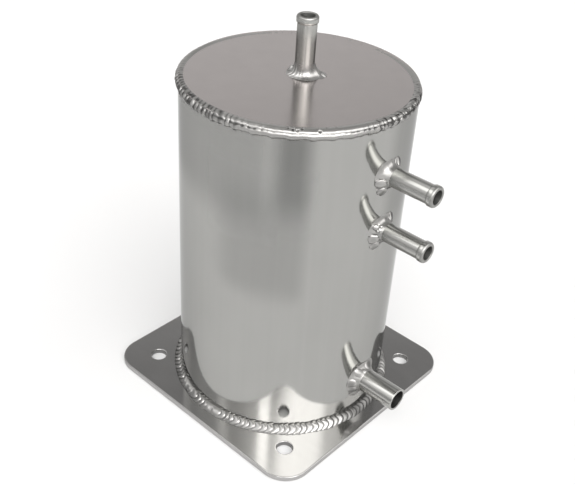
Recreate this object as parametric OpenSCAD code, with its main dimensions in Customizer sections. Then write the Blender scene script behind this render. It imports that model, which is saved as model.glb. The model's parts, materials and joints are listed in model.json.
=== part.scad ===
// Fuel surge tank: an upright welded aluminium cylinder on a square foot, with one hose
// tail on the lid, two on the side and a plain outlet tube low on the same side.
// Origin: centre of the foot's underside. +Z up, +X the way the side tails point.

/* [Tank body] */
// Outside diameter of the tank tube
body_d = 115; // [100:1:160]
// Wall thickness of the tank tube
wall = 3; // [2:0.5:5]
// Height from the underside of the foot to the top face of the lid
tank_h = 180; // [130:1:300]
// Thickness of the lid
lid_t = 3; // [2:0.5:3.5]

/* [Foot] */
// How far the square foot stands out past the tank tube on each side
foot_margin = 11; // [9:0.5:30]
// Thickness of the foot
foot_t = 3; // [2:0.5:8]
// Radius of the foot's corners
corner_r = 15; // [6:1:25]
// Distance from the foot's edge to the centre of a bolt hole
hole_inset = 18.5; // [14:0.5:20]
// Diameter of the bolt holes
hole_d = 8.5; // [5.5:0.5:10.5]
// Width of the small bevel on the foot's edges and hole rims
edge_break = 0.5; // [0.2:0.1:0.8]

/* [Hose tails] */
// Outside diameter of the hose tails
tail_d = 9.5; // [7:0.5:12]
// Wall thickness of the hose tails
tail_wall = 1.25; // [1:0.25:2]
// How far the bead at the tip stands proud of the tail
bead_rise = 0.55; // [0.3:0.05:1]
// Length of the bead's straight land, which seals in the hose
bead_land = 1.6; // [1:0.1:3]
// Length of the rounded nose ahead of the land
nose_l = 1.3; // [1.2:0.1:3]
// How far the upper side tail stands out of the tank
upper_tail_l = 27.5; // [15:0.5:50]
// How far the middle side tail stands out of the tank
middle_tail_l = 27.5; // [15:0.5:50]
// How far the top tail stands up from the lid
top_tail_l = 29; // [15:0.5:50]
// Distance from the lid's top face down to the upper side tail's axis
upper_tail_drop = 29; // [20:1:40]
// Distance from the upper side tail's axis down to the middle one's
tail_spacing = 30; // [25:1:50]
// How far the top tail stands off the tank's axis, towards the back corner
top_tail_offset = 3; // [0:0.5:20]

/* [Outlet] */
// Outside diameter of the outlet tube
outlet_d = 12.5; // [10:0.5:16]
// Wall thickness of the outlet tube
outlet_wall = 1.2; // [1:0.1:2]
// How far the outlet tube stands out of the tank
outlet_l = 24.5; // [15:0.5:50]
// Height of the outlet's axis above the foot's top face
outlet_rise = 23; // [20:0.5:40]

/* [Welds] */
// How far the foot's weld reaches out over the foot
foot_weld_leg = 4; // [3:0.25:5]
// How far the foot's weld climbs the tank tube
foot_weld_rise = 3; // [2:0.25:5]
// Length of one ripple of the foot's weld
foot_ripple = 3.1; // [2:0.1:4]
// How far the lid's weld reaches over the lid and down the tube
lid_weld_leg = 4; // [3.5:0.25:5]
// Length of one ripple of the lid's weld
lid_ripple = 2.8; // [2:0.1:4]
// How far a tail's weld reaches along the tail and out over the tank
tail_weld_leg = 4.2; // [3:0.1:5]
// Length of one ripple of a tail's weld
tail_ripple = 1.9; // [1.5:0.1:4]
// Height of a ripple's crest
ripple_h = 0.45; // [0.1:0.05:0.6]
// Height of the smooth dabs where a weld was stopped or built up
dab_h = 0.6; // [0.1:0.05:0.9]

/* [Hidden] */
$fn = 128;

// Free play round a tail in its hole
hole_play = 0.1;
// How far a tail runs on past the inside of the wall or lid
tail_inside = 1;
// Length of the slope behind the bead's land
bead_back = 0.6;
// How much smaller the nose's front edge is than the tail, on the radius
nose_draw = 0.25;
// Bevel at the mouth of a tail
mouth_bevel = 0.35;
// Steps along the rounded nose
nose_steps = 6;
// How far a cutting solid runs past the face it cuts
over = 1;

body_r = body_d / 2;
inner_r = body_r - wall;
foot_w = body_d + 2 * foot_margin;
foot_run = foot_w - 2 * corner_r;
shell_top = tank_h - lid_t;
hole_xy = foot_w / 2 - hole_inset;
tail_r = tail_d / 2;
bead_r = tail_r + bead_rise;
outlet_r = outlet_d / 2;
upper_tail_z = tank_h - upper_tail_drop;
middle_tail_z = upper_tail_z - tail_spacing;
outlet_z = foot_t + outlet_rise;

// Share of a ripple's length at which it crests: it swells slowly and drops off fast
crest_at = 0.7;
// Where the rings of points lie along a ripple, and along the lid's plainer ones
ripple_rings = [0, crest_at / 2, crest_at];
lid_rings = [0, crest_at];
// Steps across the face of each kind of weld
foot_face_steps = 4;
lid_face_steps = 5;
tail_face_steps = 3;
// How far the middle of a crescent runs ahead of its ends
foot_crescent = 1.6;
lid_crescent = 1.2;
tail_crescent = 0.9;
// Plain crown of the long welds under their ripples
foot_crown = 0.3;
lid_crown = 2.1;
lid_skew = 0.4;
// How far the face of a tail's weld is hollowed between its dabs
tail_hollow = 0.3;
// How much further a tail's weld reaches out at a dab, as a share
dab_spread = 0.12;
// Angles round the tank, and round each tail, at which the welds have dabs
foot_dabs = [253, 274];
upper_tail_dabs = [283, 333];
middle_tail_dabs = [235, 330];
outlet_dabs = [210];
top_tail_dabs = [40, 200];
// Half of the length of a dab on the foot's weld, and on a tail's weld
foot_dab_half = 4.4;
tail_dab_half = 2.4;
// Angle at which the lid's ripples are strongest, half of the stretch, and their strength elsewhere
lid_rippled_at = 256;
lid_rippled_half = 34;
lid_smooth = 0.35;

aluminium = "#b4b4b1";
lid_grey = "#a39d9d";
foot_grey = "#a8a7a6";
weld_grey = "#c4c3bf";

// Places on the tank where a tail is welded in: [height, radius] on the +X side
function side_ports() = [[upper_tail_z, tail_r], [middle_tail_z, tail_r], [outlet_z, outlet_r]];

// Swell of a ripple at share f of its length, rounded at its crest
function swell(f) = sin(f < crest_at ? 90 * f / crest_at : 90 * (1 - f) / (1 - crest_at));
// Hump of 1 at each of the places, falling to 0 about half away from them
function hump(turn, places, half) =
    max([for (p = places) let (gap = turn - p) exp(-pow((gap - 360 * round(gap / 360)) / half, 4))]);
// Angle that an arc of the given length takes at radius r
function arc_angle(length, r) = length / r * 180 / PI;
// A hand weld's ripples differ: strength of ripple k, from about 0.5 to 1.5
function uneven(k, seed) = 1 + 0.3 * sin(137 * k + seed) + 0.2 * sin(61 * k + 2 * seed);
// Corner radius of a many-sided ring whose flats touch a circle of radius r
function around(r, step_angle) = r / cos(step_angle / 2);
// Longest step between rings, as an angle, for n ripples in a full turn
function ring_step(n, rings) =
    max([for (i = [0:len(rings) - 1]) (i + 1 < len(rings) ? rings[i + 1] : 1) - rings[i]]) * 360 / n;

// Closed ring of sections: each side between two sections is two triangles
module ring_of(sections) {
    n = len(sections);
    m = len(sections[0]);
    polyhedron(
        points = [for (section = sections) for (p = section) p],
        faces = [for (i = [0:n - 1]) for (j = [0:m - 1]) for (half = [0, 1])
            let (a = i * m + j, b = i * m + (j + 1) % m,
                c = (i + 1) % n * m + (j + 1) % m, d = (i + 1) % n * m + j)
            half == 0 ? [a, b, c] : [a, c, d]],
        convexity = 8);
}

// Point at radius r, angle a and height z
function polar(r, a, z) = [r * cos(a), r * sin(a), z];

// Square foot with round corners, as a plain outline
module foot_outline() {
    square([foot_run, foot_w], center = true);
    square([foot_w, foot_run], center = true);
    for (x = [-1, 1], y = [-1, 1]) translate([x * foot_run / 2, y * foot_run / 2]) circle(corner_r);
}

// Cutter that bevels an edge of the foot: four straight runs and four corner runs
module foot_bevel() {
    section = [[-edge_break, 0], [over, 0], [over, -edge_break - over], [0, -edge_break]];
    for (quarter = [0:3]) rotate(90 * quarter) {
        translate([foot_w / 2, foot_run / 2, 0]) rotate([90, 0, 0])
            linear_extrude(foot_run) polygon(section);
        translate([foot_run / 2, foot_run / 2, 0]) rotate_extrude(angle = 90)
            translate([corner_r, 0]) polygon(section);
    }
}

module base_plate() {
    color(foot_grey) difference() {
        linear_extrude(foot_t) foot_outline();
        translate([0, 0, foot_t]) foot_bevel();
        mirror([0, 0, 1]) foot_bevel();
        for (x = [-1, 1], y = [-1, 1]) translate([x * hole_xy, y * hole_xy, 0]) {
            translate([0, 0, -over]) cylinder(d = hole_d, h = foot_t + 2 * over);
            translate([0, 0, foot_t - edge_break])
                cylinder(d1 = hole_d, d2 = hole_d + 4 * edge_break, h = 2 * edge_break);
        }
    }
}

module tank_shell() {
    color(aluminium) difference() {
        translate([0, 0, foot_t]) cylinder(r = body_r, h = shell_top - foot_t);
        translate([0, 0, foot_t - over]) cylinder(r = inner_r, h = shell_top - foot_t + 2 * over);
        for (port = side_ports()) translate([0, 0, port[0]]) rotate([0, 90, 0])
            cylinder(r = port[1] + hole_play, h = body_r + over);
    }
}

module lid() {
    color(lid_grey) difference() {
        translate([0, 0, shell_top]) cylinder(r = body_r, h = lid_t);
        translate([0, top_tail_offset, shell_top - over])
            cylinder(r = tail_r + hole_play, h = lid_t + 2 * over);
    }
}

// Hose tail along +Z: its root is at z = 0 and its tip at z = length
module hose_tail(length) {
    tip_r = tail_r - nose_draw;
    land_end = length - nose_l;
    bead_start = land_end - bead_land - bead_back;
    bore_r = tail_r - tail_wall;
    nose = [for (i = [0:nose_steps]) let (a = 90 * i / nose_steps)
        [tip_r + (bead_r - tip_r) * cos(a), land_end + nose_l * sin(a)]];
    rotate_extrude() polygon(concat(
        [[bore_r, 0], [tail_r, 0], [tail_r, bead_start], [bead_r, land_end - bead_land]],
        nose,
        [[bore_r + mouth_bevel, length], [bore_r, length - mouth_bevel]]));
}

// Hose tail in the side of the tank at height z, standing out by length
module side_tail(z, length) {
    root = inner_r - tail_inside;
    color(aluminium) translate([root, 0, z]) rotate([0, 90, 0]) hose_tail(body_r + length - root);
}

module upper_tail() side_tail(upper_tail_z, upper_tail_l);

module middle_tail() side_tail(middle_tail_z, middle_tail_l);

module top_tail() {
    root = shell_top - tail_inside;
    color(aluminium) translate([0, top_tail_offset, root]) hose_tail(tank_h + top_tail_l - root);
}

module outlet_tube() {
    root = inner_r - tail_inside;
    length = body_r + outlet_l - root;
    color(aluminium) translate([root, 0, outlet_z]) rotate([0, 90, 0]) difference() {
        cylinder(r = outlet_r, h = length);
        translate([0, 0, -over]) cylinder(r = outlet_r - outlet_wall, h = length + 2 * over);
    }
}

// Fillet weld between the foot and the tank tube, laid as overlapping crescents, with a smooth
// dab at each place where it was stopped and started again
module base_weld() {
    n = round(PI * (body_d + foot_weld_leg) / foot_ripple);
    seat = around(body_r, ring_step(n, ripple_rings));
    lag = arc_angle(foot_crescent, body_r);
    slant = norm([foot_weld_leg, foot_weld_rise]);
    color(weld_grey) ring_of([for (k = [0:n - 1]) for (f = ripple_rings)
        let (turn = 360 * (k + f) / n, dab = hump(turn, foot_dabs, arc_angle(foot_dab_half, body_r)),
            bulge = foot_crown + dab_h * dab + ripple_h * swell(f) * uneven(k, 20) * (1 - dab))
        concat([polar(seat, turn - lag, foot_t)],
            [for (i = [foot_face_steps:-1:0])
                let (u = i / foot_face_steps, out = bulge * sin(180 * u) / slant)
                polar(seat + foot_weld_leg * u + foot_weld_rise * out,
                    turn - lag * pow(2 * u - 1, 2),
                    foot_t + foot_weld_rise * (1 - u) + foot_weld_leg * out)])]);
}

// Weld over the corner between the lid and the tank tube, fuller on the side than on top. Its
// ripples are strong on one stretch and faint on the rest.
module lid_weld() {
    n = round(PI * body_d / lid_ripple);
    seat = around(body_r, ring_step(n, lid_rings));
    lag = arc_angle(lid_crescent, body_r);
    color(weld_grey) ring_of([for (k = [0:n - 1]) for (f = lid_rings)
        let (turn = 360 * (k + f) / n,
            strength = lid_smooth + (1 - lid_smooth) * hump(turn, [lid_rippled_at], lid_rippled_half),
            crown = lid_crown + ripple_h * swell(f) * uneven(k, 70) * strength)
        concat([polar(seat, turn - lag, tank_h)],
            [for (i = [lid_face_steps:-1:0])
                let (u = i / lid_face_steps, a = 90 * u,
                    out = lid_weld_leg + crown * sin(180 * u) + lid_skew * sin(360 * u))
                polar(seat - lid_weld_leg + out * cos(a),
                    turn - lag * pow(2 * u - 1, 2),
                    tank_h - lid_weld_leg + out * sin(a))])]);
}

// Hollow fillet weld round a tail along +Z, with fine crescents and a few smooth dabs. It stands
// on a surface whose height over the tail's own footprint falls away as a cylinder of radius bend
// (0 for a flat one).
module tail_weld(tube_r, bend, seed, dabs) {
    face_r = tube_r + tail_weld_leg / 2;
    n = round(2 * PI * face_r / tail_ripple);
    seat = around(tube_r, ring_step(n, ripple_rings));
    skin = bend == 0 ? 0 : around(bend, arc_angle(tail_ripple, bend));
    lag = arc_angle(tail_crescent, face_r);
    color(weld_grey) ring_of([for (k = [0:n - 1]) for (f = ripple_rings)
        let (turn = 360 * (k + f) / n, dab = hump(turn, dabs, arc_angle(tail_dab_half, face_r)),
            reach = tail_weld_leg * (1 + dab_spread * dab),
            bulge = dab_h * dab - tail_hollow * (1 - dab) + ripple_h * swell(f) * uneven(k, seed))
        concat(
            [for (i = [0:1]) on_skin(seat + reach * i / 2, turn - lag, 0, bend, skin)],
            [for (i = [tail_face_steps:-1:0])
                let (u = i / tail_face_steps, out = bulge * sin(180 * u) * sqrt(0.5))
                on_skin(seat + reach * u + out, turn - lag * pow(2 * u - 1, 2),
                    tail_weld_leg * (1 - u) + out, bend, skin)])]);
}

// Point at radius r and angle a round a tail, at height h over the surface it stands on
function on_skin(r, a, h, bend, skin) =
    let (p = polar(r, a, h))
    bend == 0 ? p : [p[0], p[1], h + sqrt(skin * skin - p[1] * p[1]) - bend];

// Weld of a side tail at height z
module side_tail_weld(z, tube_r, seed, dabs) {
    translate([body_r, 0, z]) rotate([0, 90, 0]) tail_weld(tube_r, body_r, seed, dabs);
}

module upper_tail_weld() side_tail_weld(upper_tail_z, tail_r, 10, upper_tail_dabs);

module middle_tail_weld() side_tail_weld(middle_tail_z, tail_r, 200, middle_tail_dabs);

module outlet_weld() side_tail_weld(outlet_z, outlet_r, 300, outlet_dabs);

module top_tail_weld() {
    translate([0, top_tail_offset, tank_h]) tail_weld(tail_r, 0, 120, top_tail_dabs);
}

base_plate();
tank_shell();
lid();
top_tail();
upper_tail();
middle_tail();
outlet_tube();
base_weld();
lid_weld();
top_tail_weld();
upper_tail_weld();
middle_tail_weld();
outlet_weld();
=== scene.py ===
# Looks of a welded, polished aluminium fuel surge tank, in metres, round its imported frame.
# Angles round the tank are in degrees from +X towards +Y. Seen in the photograph, 221 is at the
# left, 311 in front, 41 at the right and 131 at the back.
import json
import math

import bmesh
import bpy
import numpy as np
from mathutils import Matrix, Vector, noise
from mathutils.geometry import tessellate_polygon


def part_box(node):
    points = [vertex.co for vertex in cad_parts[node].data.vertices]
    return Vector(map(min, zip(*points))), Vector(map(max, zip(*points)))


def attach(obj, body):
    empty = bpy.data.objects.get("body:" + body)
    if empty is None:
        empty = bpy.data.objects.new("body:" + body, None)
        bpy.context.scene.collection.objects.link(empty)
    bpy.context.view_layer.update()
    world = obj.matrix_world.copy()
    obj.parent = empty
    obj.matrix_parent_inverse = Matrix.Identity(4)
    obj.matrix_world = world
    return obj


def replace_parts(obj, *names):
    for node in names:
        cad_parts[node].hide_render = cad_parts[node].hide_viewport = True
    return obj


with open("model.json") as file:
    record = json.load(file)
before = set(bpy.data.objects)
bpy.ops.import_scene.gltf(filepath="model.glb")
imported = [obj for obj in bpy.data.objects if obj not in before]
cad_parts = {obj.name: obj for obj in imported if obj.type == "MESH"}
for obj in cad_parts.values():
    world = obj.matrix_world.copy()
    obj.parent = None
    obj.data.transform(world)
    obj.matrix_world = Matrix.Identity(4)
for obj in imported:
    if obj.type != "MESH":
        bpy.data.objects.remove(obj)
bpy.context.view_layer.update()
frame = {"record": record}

MM = 0.001
TURN = 2 * math.pi


# Sizes taken from the frame
def mount_dims(name):
    """Stated sizes of one of the record's mounts."""
    return next(m["dims"] for m in frame["record"]["mounts"] if m["name"] == name)


def middle_of(node, axis):
    """Middle of a CAD node's box along one axis."""
    return sum(getattr(corner, axis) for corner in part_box(node)) / 2


FOOT_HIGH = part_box("base_plate")[1]
LID_LOW, LID_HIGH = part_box("lid")
FOOT_TOP = FOOT_HIGH.z
LID_TOP = LID_HIGH.z
SHELL_R = round(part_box("tank_shell")[1].x / MM, 1) * MM
HOLE_XY = mount_dims("base_holes")["spacing_x_mm"] / 2 * MM
HOLE_R = mount_dims("base_holes")["hole_r_mm"] * MM
BEAD_R = mount_dims("upper_tail")["r_mm"] * MM
OUTLET_R = mount_dims("outlet")["r_mm"] * MM

# Sizes that the frame's boxes don't give
SHELL_WALL = 3 * MM
FOOT_CORNER_R = 15 * MM
TAIL_R = 4.75 * MM
TAIL_BORE_R = TAIL_R - 1.25 * MM
OUTLET_BORE_R = OUTLET_R - 1.2 * MM
HOLE_PLAY = 0.1 * MM
NOSE_L = 1.3 * MM
LID_WELD_LEG = 4 * MM
TAIL_WELD_LEG = 4.2 * MM

# Softly rounded edges
FOOT_EDGE_R = 0.5 * MM
LID_EDGE_R = 0.3 * MM
OUTLET_RIM_R = 0.3 * MM


# Meshes
def make_piece(name, points, faces, material, node, crease=40, values=None):
    """Closed smooth mesh that stands for a CAD node. values holds numbers for each point, by name."""
    mesh = bpy.data.meshes.new(name)
    mesh.from_pydata([tuple(p) for p in points], [], [tuple(f) for f in faces])
    work = bmesh.new()
    work.from_mesh(mesh)
    bmesh.ops.recalc_face_normals(work, faces=work.faces)
    work.to_mesh(mesh)
    work.free()
    for key, numbers in (values or {}).items():
        layer = mesh.attributes.new(key, "FLOAT", "POINT")
        layer.data.foreach_set("value", np.asarray(numbers, np.float32).ravel())
    mesh.shade_smooth()
    mesh.set_sharp_from_angle(angle=math.radians(crease))
    mesh.materials.append(material)
    piece = bpy.data.objects.new(name, mesh)
    bpy.context.scene.collection.objects.link(piece)
    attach(piece, "root")
    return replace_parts(piece, node)


def grid_faces(rows, cols, wrap_rows=False):
    """Quads of a grid of points whose columns close into a ring, and its rows too if asked."""
    quads = []
    for i in range(rows if wrap_rows else rows - 1):
        for j in range(cols):
            here, up = i * cols, (i + 1) % rows * cols
            quads.append((here + j, here + (j + 1) % cols, up + (j + 1) % cols, up + j))
    return quads


def loop_faces(outer, inner):
    """Quads between two loops of point numbers."""
    count = len(outer)
    following = [(k + 1) % count for k in range(count)]
    return [(outer[k], outer[n], inner[n], inner[k]) for k, n in enumerate(following)]


def circle(centre, radius, steps):
    """Points of a circle in the plane, counter-clockwise."""
    angles = np.arange(steps) * TURN / steps
    return np.stack([centre[0] + radius * np.cos(angles), centre[1] + radius * np.sin(angles)], 1)


def round_square(half, corner_r, corner_steps=24):
    """Points of a square with round corners, counter-clockwise."""
    points = []
    reach = (half - corner_r) * math.sqrt(2)
    for quarter in range(4):
        middle = TURN / 4 * quarter + TURN / 8
        for i in range(corner_steps + 1):
            a = TURN / 4 * (quarter + i / corner_steps)
            points.append((reach * math.cos(middle) + corner_r * math.cos(a),
                           reach * math.sin(middle) + corner_r * math.sin(a)))
    return np.array(points)


def plate(loops, low, high, edge_r, edge_steps=4):
    """Flat plate with softly rounded edges. Each loop is a function from how far it lies inside the
    material to its points; the first is the outline and the others are holes."""
    support = 0.4 * MM
    turn = [TURN / 4 * i / edge_steps for i in range(edge_steps + 1)]
    top = [(edge_r * (1 - math.sin(a)), high - edge_r * (1 - math.cos(a))) for a in turn]
    bottom = [(inset, low + high - z) for inset, z in reversed(top)]
    levels = [(edge_r + support, high)] + top + bottom + [(edge_r + support, low)]
    points, faces, rims = [], [], ([], [])
    for loop in loops:
        rings = [[(x, y, z) for x, y in loop(inset)] for inset, z in levels]
        start, count = len(points), len(rings[0])
        faces += [tuple(start + i for i in f) for f in grid_faces(len(rings), count)]
        points += [p for ring in rings for p in ring]
        for rim_shade, first in ((rims[0], start), (rims[1], start + (len(rings) - 1) * count)):
            rim_shade.append(range(first, first + count))
    for rim_shade in rims:
        order = [i for loop in rim_shade for i in loop]
        flat = tessellate_polygon([[Vector(points[i]) for i in loop] for loop in rim_shade])
        faces += [tuple(order[i] for i in f) for f in flat]
    return points, faces


def revolve(profile, place, axis, steps):
    """Closed profile of (radius, distance along the axis), turned about an axis through place."""
    radius, along = np.array(profile).T
    angles = np.arange(steps) * TURN / steps
    across = np.outer(radius, np.cos(angles)), np.outer(radius, np.sin(angles))
    run = np.repeat(along[:, None], steps, 1)
    ordered = (run, across[0], across[1]) if axis == "X" else (across[0], across[1], run)
    points = np.stack(ordered, -1).reshape(-1, 3) + np.array(place)
    return points, grid_faces(len(profile), steps, wrap_rows=True)


def arc(centre_r, centre_z, radius_r, radius_z, start, end, steps=6):
    """Points of an elliptical arc in a profile, from one angle in degrees to another."""
    angles = [math.radians(start + (end - start) * i / steps) for i in range(steps + 1)]
    return [(centre_r + radius_r * math.cos(a), centre_z + radius_z * math.sin(a)) for a in angles]


# Foot, lid and tank tube
def foot(material):
    """Square foot with four bolt holes, whose walls are marked for painted shade and a duller finish
    in the material.
    """
    corners = [(x, y) for x in (-HOLE_XY, HOLE_XY) for y in (-HOLE_XY, HOLE_XY)]
    loops = [lambda inset: round_square(FOOT_HIGH.x - inset, FOOT_CORNER_R - inset)]
    loops += [lambda inset, at=at: circle(at, HOLE_R + inset, 48) for at in corners]
    points, faces = plate(loops, 0, FOOT_TOP, FOOT_EDGE_R)
    wall_r = HOLE_R + 0.1 * MM
    bore = [any(math.hypot(p[0] - x, p[1] - y) < wall_r for x, y in corners) for p in points]
    return make_piece("foot", points, faces, material, "base_plate",
                      values={"bore": bore})


def lid(material):
    """Round lid with a hole for the top tail."""
    tail_at = (0, middle_of("top_tail", "y"))
    loops = [lambda inset: circle((0, 0), SHELL_R - inset, 192),
             lambda inset: circle(tail_at, TAIL_R + HOLE_PLAY + inset, 48)]
    points, faces = plate(loops, LID_LOW.z, LID_TOP, LID_EDGE_R)
    return make_piece("lid_disc", points, faces, material, "lid")


def port_rings(points, faces, edge, radius, port_z, hole_r, rings=3):
    """Rings on a tube's skin that turn from the edge of a square patch into a round hole. Returns
    the last ring's point numbers."""
    corners = [np.array(points[k][1:]) - (0, port_z) for k in edge]
    for ring in range(1, rings + 1):
        share = ring / rings
        new = []
        for c in corners:
            y, dz = c * (1 - share) + c / np.hypot(*c) * hole_r * share
            new.append(len(points))
            points.append((math.sqrt(radius ** 2 - y ** 2), y, port_z + dz))
        faces.extend(loop_faces(edge, new))
        edge = new
    return edge


def tube_skin(points, faces, radius, heights, ports, steps, cells):
    """Outer or inner skin of the tube, added to points and faces. ports gives each port's first row
    of points, its height and its radius. Returns the edges of the ports and of the two ends."""
    start = len(points)
    rows = len(heights)
    half = cells // 2
    for z in heights:
        for j in range(steps):
            a = TURN * j / steps
            points.append((radius * math.cos(a), radius * math.sin(a), z))
    open_cells = {(row + i, j % steps) for row, _, _ in ports
                  for i in range(cells) for j in range(-half, half)}
    for i in range(rows - 1):
        for j in range(steps):
            if (i, j) not in open_cells:
                a, b = start + i * steps + j, start + i * steps + (j + 1) % steps
                faces.append((a, b, b + steps, a + steps))
    edges = []
    for row, port_z, hole_r in ports:
        square = [(row, j) for j in range(-half, half)]
        square += [(row + i, half) for i in range(cells)]
        square += [(row + cells, j) for j in range(half, -half, -1)]
        square += [(row + i, -half) for i in range(cells, 0, -1)]
        edge = [start + i * steps + j % steps for i, j in square]
        edges.append(port_rings(points, faces, edge, radius, port_z, hole_r))
    edges += [[start + i * steps + j for j in range(steps)] for i in (0, rows - 1)]
    return edges


def tank_tube(material, steps=240, cells=10):
    """Tube with three round ports on its +X side, each in a square patch that is cells wide and
    high."""
    patch_half = SHELL_R * math.sin(TURN / steps * cells / 2)
    heights = [FOOT_TOP]
    ports = []
    for node, radius in (("outlet_tube", OUTLET_R), ("middle_tail", TAIL_R), ("upper_tail", TAIL_R)):
        z = middle_of(node, "z")
        ports.append((len(heights), z, radius + HOLE_PLAY))
        heights += [z + patch_half * (2 * i / cells - 1) for i in range(cells + 1)]
    heights.append(LID_LOW.z)
    points, faces = [], []
    outside = tube_skin(points, faces, SHELL_R, heights, ports, steps, cells)
    inside = tube_skin(points, faces, SHELL_R - SHELL_WALL, heights, ports, steps, cells)
    for outer, inner in zip(outside, inside):
        faces += loop_faces(outer, inner)
    return make_piece("tank_tube", points, faces, material, "tank_shell")


# Hose tails and outlet
def tail_profile(length):
    """A hose tail's outline: up its side, over the bead, round the mouth and down the bore."""
    bead_back, bead_land = 0.6 * MM, 1.6 * MM
    tip_r, mouth_r = TAIL_R - 0.25 * MM, 0.35 * MM
    support = 0.2 * MM
    slope_steps = 8
    land_end = length - NOSE_L
    slope_start = land_end - bead_land - bead_back
    rise = BEAD_R - TAIL_R
    outline = [(TAIL_BORE_R, 0), (TAIL_R, 0), (TAIL_R, slope_start - support)]
    for i in range(slope_steps + 1):
        share = i / slope_steps
        outline.append((TAIL_R + rise * (1 - math.cos(math.pi * share)) / 2,
                        slope_start + bead_back * share))
    outline += [(BEAD_R, land_end - bead_land / 2)]
    outline += arc(tip_r, land_end, BEAD_R - tip_r, NOSE_L, 0, 90, 10)
    outline += arc(TAIL_BORE_R + mouth_r, length - mouth_r, mouth_r, mouth_r, 90, 180)
    return outline


def outlet_profile(length):
    """The outlet's outline: up its side, round the mouth and down the bore."""
    rim_z = length - OUTLET_RIM_R
    outline = [(OUTLET_BORE_R, 0), (OUTLET_R, 0)]
    outline += arc(OUTLET_R - OUTLET_RIM_R, rim_z, OUTLET_RIM_R, OUTLET_RIM_R, 0, 90)
    outline += arc(OUTLET_BORE_R + OUTLET_RIM_R, rim_z, OUTLET_RIM_R, OUTLET_RIM_R, 90, 180)
    return outline


def turned_piece(name, node, axis, profile, bore_r, material, steps, nose_shade=0.0):
    """Piece turned from a profile, with its bore marked for painted shade and a duller finish in the
    material. The last argument says how much of that its nose gets: painted shade that tones down its
    highlight."""
    low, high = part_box(node)
    middle = (low + high) / 2
    place = (low.x, middle.y, middle.z) if axis == "X" else (middle.x, middle.y, low.z)
    length = (high - low).x if axis == "X" else (high - low).z
    outline = profile(length)
    points, faces = revolve(outline, place, axis, steps)
    wall_r = bore_r + 0.05 * MM
    bore = [1.0 if radius < wall_r else nose_shade * (along > length - NOSE_L)
            for radius, along in outline]
    return make_piece(name, points, faces, material, node,
                      values={"bore": np.repeat(bore, steps)})


def tail(name, node, axis, material):
    """Hose tail with a bead."""
    return turned_piece(name, node, axis, tail_profile, TAIL_BORE_R, material, steps=96, nose_shade=0.5)


def outlet(material):
    """Plain thin-walled tube."""
    return turned_piece("outlet_spout", "outlet_tube", "X", outlet_profile, OUTLET_BORE_R, material,
                        steps=128)


# Welds
CREST_AT = 0.7
RIPPLE_H = 0.45 * MM
WELD_CREASE = 60


def turn_from(angle, place):
    """How far each angle lies past a place given in degrees, at most half a turn either way."""
    return (angle - math.radians(place) + math.pi) % TURN - math.pi


def hump(angle, places, half):
    """Hump of 1 at each of the places, given in degrees, falling to 0 about half away from them.
    half is in radians."""
    total = np.zeros_like(angle)
    for place in places:
        total = np.maximum(total, np.exp(-(turn_from(angle, place) / half) ** 4))
    return total


def swell(share):
    """Swell of a ripple along its length: a rounded crest between two sharp grooves."""
    return np.sin(TURN / 4 * np.minimum(share / CREST_AT, (1 - share) / (1 - CREST_AT)))


def uneven(number, seed):
    """A hand weld's ripples differ: strength of each one, from about 0.5 to 1.5."""
    slow, fast = np.radians(61 * number + 2 * seed), np.radians(137 * number + seed)
    return 1 + 0.3 * np.sin(fast) + 0.2 * np.sin(slow)


def wander(angle, waves, seed):
    """Smooth random curve round a full turn, from about -1 to 1."""
    rng = np.random.default_rng(seed)
    total = np.zeros_like(angle)
    for k in waves:
        total = total + rng.normal() * np.cos(k * angle + rng.uniform(0, TURN))
    return total / math.sqrt(len(waves))


def roughen(points, size, seed):
    """Noise from -1 to 1 at each point, with lumps of about the given size."""
    shift = Vector((seed, 2 * seed, 3 * seed))
    flat = points.reshape(-1, 3)
    values = [noise.noise(Vector(p) / size + shift) for p in flat]
    return np.array(values).reshape(points.shape[:-1])


def ripples(angle, across, count, lag, seed, loose):
    """Height of hand-laid ripples, from 0 to about 1.5. Each is a crescent whose middle runs ahead
    of its ends by lag, and loose says how unevenly they are spaced."""
    front = 0.42
    trail = lag * ((across - front) / (1 - front)) ** 2
    phase = (angle + trail) * count / TURN + loose * wander(angle, range(5, count // 3, 3), seed)
    whole = np.floor(phase)
    return swell(phase - whole) * uneven(whole % count, seed)


def weld_piece(name, node, surface, corner, crest, material):
    """Closed ring of sections. corner is the hidden inner edge, and crest says how bright each
    point of the surface is painted: painted shade, deepest in the grooves and gone on the crests."""
    points = np.concatenate([corner, surface], 1)
    rows, cols = points.shape[:2]
    hidden = np.zeros(corner.shape[:2])
    crest = np.concatenate([hidden, crest + 0 * surface[..., 0]], 1)
    faces = grid_faces(rows, cols, wrap_rows=True)
    return make_piece(name, points.reshape(-1, 3), faces, material, node,
                      WELD_CREASE, {"crest": crest})


def weld_grid(steps, face_steps):
    """Angles round a weld and shares across its face, shaped to be combined."""
    angle = (np.arange(steps) * TURN / steps)[:, None]
    across = (np.arange(face_steps + 1) / face_steps)[None, :]
    return angle, across


def ring_points(radius, angle, height):
    """Points round the tank's axis, a row for each angle."""
    return np.stack(np.broadcast_arrays(radius * np.cos(angle), radius * np.sin(angle), height), -1)


# The foot's weld: lengths, the places where it was stopped, and stretches of it. Here and below a
# stretch is its places in degrees and its half length in radians.
FOOT_RIPPLE = 3.1 * MM
FOOT_LAG = 2.0 * MM
FOOT_CROWN = 0.3 * MM
DAB_H = 0.6 * MM
DAB_HALF = 4.4 * MM
CRATER_DEPTH = 0.3 * MM
CRATER_HALF = 1.3 * MM
FOOT_STOPS = (253, 274)
FOOT_UNTIDY = (235,), 0.7
# Painted shade on the weld: darker at the left, and a painted shadow of the outlet beside it, where
# its ripples are also lower
FOOT_SHADED_LEFT = (232,), 0.38
FOOT_BY_OUTLET = (2,), 0.3


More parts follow.
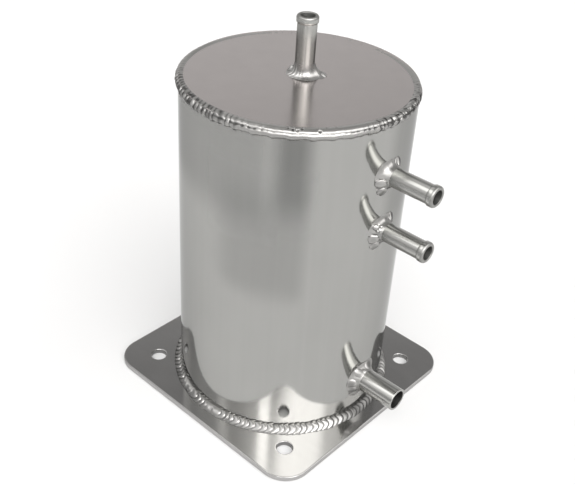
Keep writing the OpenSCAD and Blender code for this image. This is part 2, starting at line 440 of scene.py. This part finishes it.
def foot_weld(material, steps=2160, face_steps=16):
    """Fillet between foot and tube, in crescents, with a smooth dab at each place where it was
    stopped and started again."""
    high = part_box("base_weld")[1]
    leg, rise = high.x - SHELL_R, high.z - FOOT_TOP
    slant = math.hypot(leg, rise)
    angle, across = weld_grid(steps, face_steps)
    count = round(TURN * (SHELL_R + leg / 2) / FOOT_RIPPLE)
    arch = np.sin(np.pi * across)
    dab = hump(angle, FOOT_STOPS, DAB_HALF / SHELL_R)
    crater = hump(angle, FOOT_STOPS, CRATER_HALF / SHELL_R) * arch ** 4
    loose = 0.12 + 0.3 * hump(angle, *FOOT_UNTIDY)
    by_outlet = hump(angle, *FOOT_BY_OUTLET)
    ripple = ripples(angle, across, count, FOOT_LAG / SHELL_R, 20, loose) * (1 - dab)
    ripple = ripple * (1 - 0.5 * by_outlet)
    lift = arch * (FOOT_CROWN + DAB_H * dab) - CRATER_DEPTH * crater
    lift = lift + RIPPLE_H * ripple * arch ** 0.5
    reach = 1 - 0.04 * (1 - np.minimum(ripple, 1)) - 0.03 * wander(angle, range(2, 30), 5)
    radius = SHELL_R + leg * across * reach + lift * rise / slant
    height = FOOT_TOP + rise * (1 - across) * reach + lift * leg / slant
    surface = ring_points(radius, angle, height)
    corner = ring_points(SHELL_R, angle, FOOT_TOP)
    # Painted shade: darker in the grooves, at the left, and in the outlet's painted shadow
    bright = (ripple + dab) * (1 - 0.6 * hump(angle, *FOOT_SHADED_LEFT) - 0.8 * by_outlet)
    return weld_piece("foot_fillet", "base_weld", surface, corner, bright, material)


# The lid's weld: lengths, and stretches of it
LID_RIPPLE = 2.8 * MM
LID_LAG = 1.5 * MM
LID_LEAN = 1.8 * MM
LID_SKEW = 0.4 * MM
TOE_DEPTH = 0.35 * MM
PIT_R = 0.8 * MM
PIT_DEPTH = 0.5 * MM
FACE_ARC = 9 * MM
NARROWING = 1.5 * MM
LID_RIPPLED = (252,), 0.52
LID_SMOOTH = (316,), 0.42
LID_UNTIDY = (15,), 0.5
LID_FLUSH = (115,), 1.5
LID_NARROW_LEFT = (215,), 0.75
LID_NARROW_RIGHT = (25,), 0.5
# Pits: place round the tank, and share across the weld's face from its lower edge
PITS = ((307.5, 0.68), (309.5, 0.6), (311.5, 0.55), (313.5, 0.66), (321, 0.5), (324.5, 0.8),
        (329, 0.84), (2, 0.6), (9, 0.7), (14, 0.5), (20, 0.62))


def lid_pits(angle, across):
    """Small round pits in the lid's weld, 1 in them and 0 between them."""
    pits = 0 * across * angle
    for place, share in PITS:
        away = np.hypot(turn_from(angle, place) * SHELL_R, (across - share) * FACE_ARC)
        pits = np.maximum(pits, np.exp(-(away / PIT_R) ** 4))
    return pits


def lid_section(angle, across, out, flush, ragged):
    """Section of the lid's weld, as distances outward and upward from its hidden corner. out is
    how far the bead stands from that corner; where it is flush, it keeps within the lid's edge."""
    leg, boxy = LID_WELD_LEG, 0.35
    slope = TURN / 4 * across
    radius = (1 - flush) * out * np.cos(slope) + flush * leg * np.cos(slope) ** boxy
    height = (1 - flush) * out * np.sin(slope) + flush * leg * np.sin(slope) ** boxy
    narrow = np.maximum(hump(angle, *LID_NARROW_LEFT), 0.8 * hump(angle, *LID_NARROW_RIGHT))
    narrow = narrow * (1 - flush)
    radius = radius + NARROWING * narrow * np.clip((across - 0.45) / 0.55, 0, 1)
    height = height - MM * (0.35 + 0.4 * ragged) * (1 - flush) * (1 - across) ** 2
    return radius, height


def lid_weld(material, steps=2400, face_steps=24):
    """Bead over the corner between lid and tube: rippled at the left, smooth with a few pits in
    front, untidy at the right, and nearly flush at the back."""
    angle, across = weld_grid(steps, face_steps)
    count = round(TURN * SHELL_R / LID_RIPPLE)
    arch = np.sin(np.pi * across)
    rippled = hump(angle, *LID_RIPPLED)
    smooth = hump(angle, *LID_SMOOTH)
    untidy = hump(angle, *LID_UNTIDY)
    flush = hump(angle, *LID_FLUSH)
    ragged = np.clip(wander(angle, range(18, 90, 5), 31), -0.8, 1.4)
    pits = lid_pits(angle, across)

    # Ripples on a full bead, with a groove along its toe
    strength = 0.2 + 0.8 * rippled - 0.15 * smooth + 0.4 * untidy
    lean = LID_LEAN / SHELL_R * across * rippled
    loose = 0.15 + 0.06 * rippled + 0.4 * untidy
    ripple = ripples(angle + lean, across, count, LID_LAG / SHELL_R, 70, loose)
    out = LID_WELD_LEG + (2.1 - 0.6 * rippled) * MM * arch + LID_SKEW * np.sin(TURN * across)
    towards_lid = 1 - 0.8 * np.clip((across - 0.5) / 0.4, 0, 1)
    out = out + RIPPLE_H * (ripple - 0.3) * strength * towards_lid * arch ** 0.5
    toe = np.exp(-((across - 0.36) / 0.045) ** 2)
    out = out - TOE_DEPTH * toe * (1 - rippled)

    radius, height = lid_section(angle, across, out, flush, ragged)
    surface = ring_points(SHELL_R - LID_WELD_LEG + radius, angle, LID_TOP - LID_WELD_LEG + height)
    slope = TURN / 4 * across
    outward = ring_points(np.cos(slope), angle, np.sin(slope))
    grain = roughen(surface, 1.7 * MM, 3) * arch * MM * (0.05 + 0.2 * rippled + 0.3 * untidy)
    surface = surface + (grain - PIT_DEPTH * pits)[..., None] * outward
    corner = ring_points(SHELL_R - LID_WELD_LEG, angle, LID_TOP - LID_WELD_LEG)

    # Painted shade in grooves and pits, in the toe's groove and along the ragged lower edge, and over
    # the rippled stretch at the left; darker in random blotches; the smooth front is kept bright
    blotches = np.clip(2.5 * roughen(surface, 2.4 * MM, 9), 0, 1) * (0.7 * untidy + 0.3 * rippled)
    bright = np.maximum(ripple * (1 - 0.65 * rippled), 0.5 * (1 - strength)) + 0.6 * smooth
    bright = bright - 1.5 * pits - 0.9 * toe * (1 - rippled) - blotches
    dark_edge = np.clip(0.6 + 0.5 * ragged, 0, 1) * (1 - 0.7 * flush)
    bright = bright - dark_edge * np.exp(-(across / 0.07) ** 2)
    return weld_piece("lid_bead", "lid_weld", surface, corner, bright, material)


# The tails' welds. Their angles run from the downward side of a side tail towards +Y, and round
# the top tail as round the tank.
TAIL_RIPPLE = 1.9 * MM
TAIL_LAG = 1.6 * MM
TAIL_RIPPLE_H = 0.3 * MM
TAIL_GRAIN = 0.14 * MM
FULL_LUMP = 0.3 * MM
CALM_HALF = 1.0
# How far the weld climbs a side tail and the top tail, and how deeply it is hollowed there
SIDE_CLIMB, SIDE_HOLLOW = TAIL_WELD_LEG, 1.0 * MM
TOP_CLIMB, TOP_HOLLOW = 1.5 * TAIL_WELD_LEG, 1.5 * MM
# Where it reaches further over the tank, or less far: place, half length, and how much as a share
SIDE_REACH = ((122, 0.4, 0.2), (338, 0.5, 0.35), (178, 0.55, -0.3))
TOP_REACH = ((40, 0.45, 0.35), (285, 0.9, -0.3))
# Blobs of added metal: place, share across the face, radius and height in millimetres, and how
# much painted shade darkens each
TOP_BLOBS = ((40, 0.95, 2.2, 0.3, 0.0), (200, 0.7, 2.0, 0.4, 0.0))
UPPER_BLOBS = ((287, 0.6, 2.7, 0.9, 0.6), (332, 0.8, 3.0, 0.8, 0.85), (124, 0.75, 2.8, 0.5, 1.0))
MIDDLE_BLOBS = ((235, 0.6, 1.6, 0.6, 0.0), (222, 0.3, 0.9, 0.4, 0.0), (249, 0.35, 0.9, 0.4, 0.0),
                (292, 0.65, 2.8, 0.5, 0.7), (330, 0.8, 2.8, 0.7, 0.8), (124, 0.75, 2.8, 0.5, 1.0))
OUTLET_BLOBS = ((214, 0.5, 2.6, 0.3, 0.8), (192, 0.3, 1.4, 0.2, 0.7), (268, 0.7, 3.0, 0.25, 0.8),
                (300, 0.7, 2.8, 0.25, 0.8), (150, 0.6, 3.0, 0.2, 0.9))


def blob_shapes(angle, across, radius, blobs):
    """Height of the blobs, and the painted shade at each point: a dark line round each blob's edge,
    and each blob's own painted shade.
    """
    lump, rim_shade, blob_shade = (0 * radius * angle for _ in range(3))
    for place, share, blob_r, blob_h, blob_shade_amount in blobs:
        along = turn_from(angle, place) * radius
        up = (across - share) * TAIL_WELD_LEG * math.sqrt(2)
        far = np.hypot(along, up) / (blob_r * MM)
        lump = np.maximum(lump, blob_h * MM * np.maximum(1 - far ** 2, 0) ** 0.7)
        rim_shade = np.maximum(rim_shade, np.exp(-((far - 1) / 0.2) ** 2))
        blob_shade = np.maximum(blob_shade, blob_shade_amount * np.exp(-far ** 4))
    return lump, rim_shade, blob_shade


def on_tube(radius, angle, height, place):
    """Points round a side tail at height place, standing on the tank tube."""
    down, side = radius * np.cos(angle), radius * np.sin(angle)
    return np.stack([np.sqrt(SHELL_R ** 2 - side ** 2) + height, side, place - down], -1)


def on_lid(radius, angle, height, place):
    """Points round the top tail, whose axis is at y = place, standing on the lid."""
    return ring_points(radius, angle, LID_TOP + height) + np.array((0, place, 0))


def tail_weld(name, node, tube_r, axis, place, seed, blobs, calm, material, steps=560,
              face_steps=28):
    """Hollow fillet round a tail, on the tank tube (axis X) or on the lid (axis Z), with fine
    crescents, calm stretches with hardly a ripple, and blobs of added metal."""
    side = axis == "X"
    climb, depth = (SIDE_CLIMB, SIDE_HOLLOW) if side else (TOP_CLIMB, TOP_HOLLOW)
    angle, across = weld_grid(steps, face_steps)
    count = round(TURN * (tube_r + TAIL_WELD_LEG / 2) / TAIL_RIPPLE)
    arch = np.sin(np.pi * across)
    radius = tube_r + TAIL_WELD_LEG * across
    lump, rim_shade, blob_shade = blob_shapes(angle, across, radius, blobs)
    on_blob = np.minimum(lump / FULL_LUMP, 1)
    quiet = np.maximum(hump(angle, calm, CALM_HALF), on_blob)
    ripple = ripples(angle, across, count, TAIL_LAG / radius, seed, 0.2)
    hollow = depth * arch * (1 - 0.7 * on_blob)
    lift = lump - hollow + TAIL_RIPPLE_H * ripple * (1 - quiet) * arch ** 0.7
    reach = 1 + 0.07 * wander(angle, (2, 3, 5), seed)
    for middle, half, further in SIDE_REACH if side else TOP_REACH:
        reach = reach + further * hump(angle, (middle,), half)
    radius = tube_r + TAIL_WELD_LEG * reach * across + lift * math.sqrt(0.5)
    height = climb * (1 - across) + lift * math.sqrt(0.5)
    stand = on_tube if side else on_lid
    surface = stand(radius, angle, height, place)
    corner = stand(tube_r, angle, 0, place)
    grain = roughen(surface, 1.1 * MM, seed) * arch * TAIL_GRAIN * (1 - 0.65 * quiet)
    surface = surface + grain[..., None] * np.array((1, 0, 0) if side else (0, 0, 1))
    # Painted shade: darker in the grooves, round the blobs' edges and over the blobs given painted
    # shade
    bright = (0.15 + ripple * (1 - quiet) + quiet - 0.6 * rim_shade) * (1 - blob_shade)
    return weld_piece(name, node, surface, corner, bright, material)


# Nodes
def node_maker(owner):
    """Empties the node tree of a material or world, and returns the tree and a function that adds
    a node to it, sets its inputs and links those given as sockets."""
    owner.use_nodes = True
    tree = owner.node_tree
    tree.nodes.clear()

    def add(kind, inputs=None, **settings):
        node = tree.nodes.new(kind)
        for key, value in settings.items():
            setattr(node, key, value)
        for key, value in (inputs or {}).items():
            if isinstance(value, bpy.types.NodeSocket):
                tree.links.new(value, node.inputs[key])
            else:
                node.inputs[key].default_value = value
        return node
    return tree, add


def maths(add, operation, *values):
    """Result of a Math node."""
    return add("ShaderNodeMath", dict(enumerate(values)), operation=operation).outputs[0]


def scaled(add, value, low, high, to_low, to_high):
    """Value mapped in a straight line from low and high to two others."""
    return add("ShaderNodeMapRange", {"Value": value, "From Min": low, "From Max": high,
                                      "To Min": to_low, "To Max": to_high}).outputs[0]


def fade(add, value, low, high):
    """Value mapped smoothly from 0 at low to 1 at high."""
    return add("ShaderNodeMapRange", {"Value": value, "From Min": low, "From Max": high},
               interpolation_type="SMOOTHSTEP").outputs[0]


# Materials
CONTRAST = 0.03
CLOUD_SCALE = 35.0
MARK_DEPTH = 0.02 * MM
# Painted shade on welds: the share of colour left in the deepest groove, and the crest value from
# which a weld is not darkened
GROOVE_SHADE = 0.25
UNSHADED_FROM = 0.45
BORE_ROUGHNESS = 0.5


def metal(name, colour, roughness, grain, bump=0.02, edge=0.7, crest=False, bore=0.0):
    """Polished aluminium. grain stretches the fine marks: large numbers pack them along that axis.
    edge is the tint of what it mirrors at a glance, crest turns on painted shade in a weld's grooves
    and other darker spots, and bore says how much painted shade darkens a bore or hole, which is also
    duller."""
    material = bpy.data.materials.new(name)
    tree, add = node_maker(material)
    place = add("ShaderNodeTexCoord").outputs["Object"]
    marks_at = add("ShaderNodeMapping", {"Vector": place, "Scale": grain}).outputs["Vector"]
    marks = add("ShaderNodeTexNoise", {"Vector": marks_at, "Scale": 1.0, "Detail": 4.0}).outputs[0]
    cloud = add("ShaderNodeTexNoise", {"Vector": place, "Scale": CLOUD_SCALE,
                                       "Detail": 3.0}).outputs[0]
    tone = maths(add, "ADD", marks, cloud)
    shade = scaled(add, tone, 0.6, 1.4, 1 - CONTRAST, 1 + CONTRAST)
    rough = scaled(add, cloud, 0.3, 0.7, roughness * 0.85, roughness * 1.2)
    # Painted shade on welds, read from their crest values
    if crest:
        height = add("ShaderNodeAttribute", attribute_name="crest").outputs["Fac"]
        groove = scaled(add, height, 0.0, UNSHADED_FROM, GROOVE_SHADE, 1.0)
        shade = maths(add, "MULTIPLY", shade, groove)
    # Painted shade: bores and holes, and tail noses in part, are painted darker, and made duller
    if bore:
        inside = add("ShaderNodeAttribute", attribute_name="bore").outputs["Fac"]
        shade = maths(add, "MULTIPLY", shade, scaled(add, inside, 0.0, 1.0, 1.0, 1 - bore))
        rough = scaled(add, inside, 0.0, 1.0, rough, BORE_ROUGHNESS)
    base = add("ShaderNodeVectorMath", {0: colour, 3: shade}, operation="SCALE").outputs[0]
    relief = add("ShaderNodeBump", {"Height": marks, "Strength": bump, "Distance": MARK_DEPTH})
    surface = add("ShaderNodeBsdfPrincipled", {"Base Color": base, "Metallic": 1.0,
                                               "Roughness": rough,
                                               "Specular Tint": (edge, edge, edge, 1),
                                               "Normal": relief.outputs["Normal"]})
    out = add("ShaderNodeOutputMaterial")
    tree.links.new(surface.outputs[0], out.inputs["Surface"])
    return material


# Studio. Azimuth 0 is the camera's side of the tank, and 90 is square to it on the right.
CAMERA_AZIMUTH = 40.8
# Soft lights in the sky: azimuth, elevation, half width, half height, soft edges sideways and
# upwards, all in degrees, and brightness
LIGHTS = {
    "key": (30, 40, 14, 10, 9, 18, 3.0),
    "strip": (-14.5, 46, 3, 14, 2.5, 8, 4.0),
    "left": (-87, 50, 8, 7, 14, 11, 2.0),
    "left_back": (-122, 55, 14, 12, 15, 12, 0.55),
    "right": (88, 46, 12, 6, 12, 20, 1.2),
    "high_back": (178, 60, 30, 8, 25, 8, 0.35),
}
# Grey cards: azimuth of the start and of the end, and soft edges there, in degrees; distance from
# the tank's axis, bottom, top, and height over which the bottom fades in, in metres; how much the
# card hides of what is behind it, and its tone
CARDS = {
    "flag_middle": (-26, 24, 22, 20, 0.247, 0, 0.13, 0.035, 0.8, 0.45),
    "flag_left": (-155, -10, 25, 25, 0.23, 0, 0.16, 0.035, 0.40, 0.45),
    "flag_low": (-75, 20, 30, 15, 0.16, 0, 0.1, 0.02, 0.33, 0.45),
    "flag_high": (-118, -55, 12, 15, 0.3, 0.16, 0.42, 0.04, 0.9, 0.85),
    "flag_far": (-150, -25, 60, 25, 0.38, 0, 0.13, 0.05, 0.45, 0.3),
    "flag_right": (85, 178, 20, 20, 0.2, 0, 0.14, 0.03, 0.3, 0.45),
}
# The sky between the lights: its least brightness, how much brighter it is on the side that it
# glows most, the far wall's brightness, and how much of it comes only at the wall's bright side
AMBIENT = 0.2
NEAR_AZIMUTH = 17
NEAR_BOOST = 1.3
WALL_AZIMUTH = 180
WALL_BRIGHTNESS = 0.8
WALL_BRIGHT_AZIMUTH = -120
WALL_EXTRA = 0.2
SKY_COLOUR = (1, 0.99, 0.98, 1)
WHITE = (1, 1, 1, 1)
FLOOR_COLOUR = (0.5, 0.5, 0.5, 1)
FLOOR_LIFT = 0.28
FLOOR_DROP = 0.2 * MM


def way_to(azimuth, elevation):
    """Unit vector to a place in the studio, and the sideways and upward ones square to it."""
    a, e = math.radians(CAMERA_AZIMUTH + azimuth), math.radians(elevation)
    way = Vector((math.sin(a) * math.cos(e), -math.cos(a) * math.cos(e), math.sin(e)))
    side = Vector((math.cos(a), math.sin(a), 0))
    up = Vector((-math.sin(a) * math.sin(e), math.cos(a) * math.sin(e), math.cos(e)))
    return way, side, up


def dot(add, vector, other):
    """Dot product of two vectors."""
    return add("ShaderNodeVectorMath", {0: vector, 1: other},
               operation="DOT_PRODUCT").outputs["Value"]


def soft_light(add, direction, azimuth, elevation, half_width, half_height, edge_width,
               edge_height, brightness):
    """A rectangle of light with soft edges, far away."""
    way, side, up = way_to(azimuth, elevation)
    ahead = dot(add, direction, way)
    depth = maths(add, "MAXIMUM", ahead, 0.05)
    mask = fade(add, ahead, 0.0, 0.2)
    for vector, half, edge in ((side, half_width, edge_width), (up, half_height, edge_height)):
        away = maths(add, "DIVIDE", maths(add, "ABSOLUTE", dot(add, direction, vector)), depth)
        inner, outer = math.tan(math.radians(half)), math.tan(math.radians(half + edge))
        mask = maths(add, "MULTIPLY", mask, fade(add, away, outer, inner))
    return maths(add, "MULTIPLY", mask, brightness)


def sky_glow(add, direction):
    """Soft light from the camera's side, a pale wall low on the far side, and dim between them."""
    up = add("ShaderNodeSeparateXYZ", {0: direction}).outputs["Z"]
    flat = add("ShaderNodeVectorMath", {0: direction, 1: (1, 1, 0)}, operation="MULTIPLY").outputs[0]
    flat = add("ShaderNodeVectorMath", {0: flat}, operation="NORMALIZE").outputs[0]

    def facing(azimuth, low, high):
        """How far a direction turns towards an azimuth, faded between two cosines."""
        return fade(add, dot(add, flat, way_to(azimuth, 0)[0]), low, high)

    height = maths(add, "MULTIPLY", fade(add, up, -0.25, 0.6), fade(add, up, 1.05, 0.85))
    near = maths(add, "MULTIPLY_ADD", facing(NEAR_AZIMUTH, 0.35, 1.0), NEAR_BOOST,
                 facing(NEAR_AZIMUTH, -0.3, 0.1))
    wall = maths(add, "MULTIPLY", facing(WALL_AZIMUTH, 0.45, 0.8), fade(add, up, 0.80, 0.26))
    side = maths(add, "MULTIPLY_ADD", facing(WALL_BRIGHT_AZIMUTH, 0.15, 0.6), WALL_EXTRA,
                 1 - WALL_EXTRA)
    wall = maths(add, "MULTIPLY", wall, side)
    glow = maths(add, "MULTIPLY_ADD", near, height, AMBIENT)
    return maths(add, "MULTIPLY_ADD", wall, WALL_BRIGHTNESS, glow)


def studio_world():
    """Sky that glows softly, with the soft lights in it."""
    world = bpy.data.worlds.new("studio")
    bpy.context.scene.world = world
    tree, add = node_maker(world)
    direction = add("ShaderNodeTexCoord").outputs["Generated"]
    glow = sky_glow(add, direction)
    for numbers in LIGHTS.values():
        glow = maths(add, "ADD", glow, soft_light(add, direction, *numbers))
    sky = add("ShaderNodeBackground", {"Color": SKY_COLOUR, "Strength": glow})
    out = add("ShaderNodeOutputWorld")
    tree.links.new(sky.outputs[0], out.inputs["Surface"])


def card_material(name, span, soft_start, soft_end, low, high, foot_h, strength, tone):
    """Grey that fades out at the card's ends, over its foot and towards its top."""
    fade_top = 0.3
    material = bpy.data.materials.new(name)
    tree, add = node_maker(material)
    along = add("ShaderNodeAttribute", attribute_name="share").outputs["Fac"]
    place = add("ShaderNodeTexCoord").outputs["Object"]
    rise = add("ShaderNodeSeparateXYZ", {0: place}).outputs["Z"]
    full_top = (1 - fade_top) * high + fade_top * low
    mask = strength
    for value, gone, full in ((along, 0, soft_start / span), (along, 1, 1 - soft_end / span),
                              (rise, low, low + foot_h), (rise, high, full_top)):
        mask = maths(add, "MULTIPLY", mask, fade(add, value, gone, full))
    clear = add("ShaderNodeBsdfTransparent")
    grey = add("ShaderNodeEmission", {"Color": WHITE, "Strength": tone})
    mix = add("ShaderNodeMixShader", {0: mask, 1: clear.outputs[0], 2: grey.outputs[0]})
    out = add("ShaderNodeOutputMaterial")
    tree.links.new(mix.outputs[0], out.inputs["Surface"])
    return material


def card(name, start, end, soft_start, soft_end, distance, low, high, foot_h, strength, tone,
         steps=48):
    """Curved grey card that stands round the tank, for its polish to mirror."""
    points, faces = [], []
    for i in range(steps + 1):
        way = way_to(start + (end - start) * i / steps, 0)[0]
        points += [way * distance + Vector((0, 0, z)) for z in (low, high)]
    for i in range(steps):
        faces.append((2 * i, 2 * i + 2, 2 * i + 3, 2 * i + 1))
    mesh = bpy.data.meshes.new(name)
    mesh.from_pydata(points, [], faces)
    share = [(i // 2) / steps for i in range(len(points))]
    mesh.attributes.new("share", "FLOAT", "POINT").data.foreach_set("value", share)
    mesh.materials.append(card_material(name, end - start, soft_start, soft_end, low, high,
                                        foot_h, strength, tone))
    sheet = bpy.data.objects.new(name, mesh)
    bpy.context.scene.collection.objects.link(sheet)
    sheet.visible_camera = False
    sheet.visible_diffuse = False
    sheet.visible_shadow = False


def studio_floor(half=4.0):
    """Pale floor that keeps the tank's shadow, and looks white where it is seen or mirrored."""
    mesh = bpy.data.meshes.new("studio_floor")
    corners = [(-half, -half, 0), (half, -half, 0), (half, half, 0), (-half, half, 0)]
    mesh.from_pydata(corners, [], [(0, 1, 2, 3)])
    floor = bpy.data.objects.new("studio_floor", mesh)
    floor.location.z = -FLOOR_DROP
    bpy.context.scene.collection.objects.link(floor)
    material = bpy.data.materials.new("floor_white")
    tree, add = node_maker(material)
    ray = add("ShaderNodeLightPath").outputs
    seen = maths(add, "ADD", ray["Is Camera Ray"], ray["Is Glossy Ray"])
    seen = maths(add, "ADD", seen, ray["Is Transmission Ray"])
    lift = maths(add, "MULTIPLY", seen, FLOOR_LIFT)
    glow = add("ShaderNodeEmission", {"Color": WHITE, "Strength": lift})
    paint = add("ShaderNodeBsdfDiffuse", {"Color": FLOOR_COLOUR})
    both = add("ShaderNodeAddShader", {0: paint.outputs[0], 1: glow.outputs[0]})
    out = add("ShaderNodeOutputMaterial")
    tree.links.new(both.outputs[0], out.inputs["Surface"])
    mesh.materials.append(material)


def camera():
    """The photograph's viewpoint: above the front corner, looking down at the tank."""
    place = Vector((256.7, -298.2, 353.0)) * MM
    aim = Vector((-0.3, -0.3, 83.9)) * MM
    roll = math.radians(3.86)
    data = bpy.data.cameras.new("camera")
    data.sensor_width = 36
    data.lens = 55.86
    data.clip_start = 0.01
    holder = bpy.data.objects.new("camera", data)
    bpy.context.scene.collection.objects.link(holder)
    holder.rotation_mode = "QUATERNION"
    level = (aim - place).to_track_quat("-Z", "Y")
    holder.location = place
    holder.rotation_quaternion = level @ Matrix.Rotation(roll, 3, "Z").to_quaternion()
    bpy.context.scene.camera = holder


bpy.context.scene.view_settings.view_transform = "Standard"
camera()
studio_world()
studio_floor()
for card_name, card_numbers in CARDS.items():
    card(card_name, *card_numbers)

# Colours, and how closely the fine marks are packed along X, Y and Z
TUBE_GREY = (0.42, 0.42, 0.405)
WELD_GREY = (0.41, 0.405, 0.395)
TURNED_X = (2500, 40, 40)
TURNED_Z = (40, 40, 2500)
FINE = (900, 900, 900)
shell_metal = metal("shell_metal", (0.388, 0.388, 0.375), 0.10, (300, 300, 6))
lid_metal = metal("lid_metal", (0.475, 0.446, 0.438), 0.2, (120, 120, 120))
foot_metal = metal("foot_metal", (0.45, 0.445, 0.44), 0.13, (40, 300, 300), bore=0.4)
side_tail_metal = metal("side_tail_metal", TUBE_GREY, 0.22, TURNED_X, edge=0.85, bore=0.5)
outlet_metal = metal("outlet_metal", TUBE_GREY, 0.2, TURNED_X, edge=0.85, bore=0.8)
top_tail_metal = metal("top_tail_metal", TUBE_GREY, 0.2, TURNED_Z, edge=0.5, bore=0.4)
weld_metal = metal("weld_metal", WELD_GREY, 0.3, FINE, bump=0.15, crest=True)
dull_weld_metal = metal("dull_weld_metal", WELD_GREY, 0.42, FINE, bump=0.2, crest=True)

foot(foot_metal)
lid(lid_metal)
tank_tube(shell_metal)
tail("top_hose_tail", "top_tail", "Z", top_tail_metal)
tail("upper_hose_tail", "upper_tail", "X", side_tail_metal)
tail("middle_hose_tail", "middle_tail", "X", side_tail_metal)
outlet(outlet_metal)
foot_weld(weld_metal)
lid_weld(weld_metal)
tail_weld("top_tail_fillet", "top_tail_weld", TAIL_R, "Z", middle_of("top_tail", "y"),
          seed=120, blobs=TOP_BLOBS, calm=(340,), material=weld_metal)
tail_weld("upper_tail_fillet", "upper_tail_weld", TAIL_R, "X", middle_of("upper_tail", "z"),
          seed=10, blobs=UPPER_BLOBS, calm=(222,), material=weld_metal)
tail_weld("middle_tail_fillet", "middle_tail_weld", TAIL_R, "X", middle_of("middle_tail", "z"),
          seed=200, blobs=MIDDLE_BLOBS, calm=(190,), material=weld_metal)
tail_weld("outlet_fillet", "outlet_weld", OUTLET_R, "X", middle_of("outlet_tube", "z"),
          seed=300, blobs=OUTLET_BLOBS, calm=(165, 255), material=dull_weld_metal)
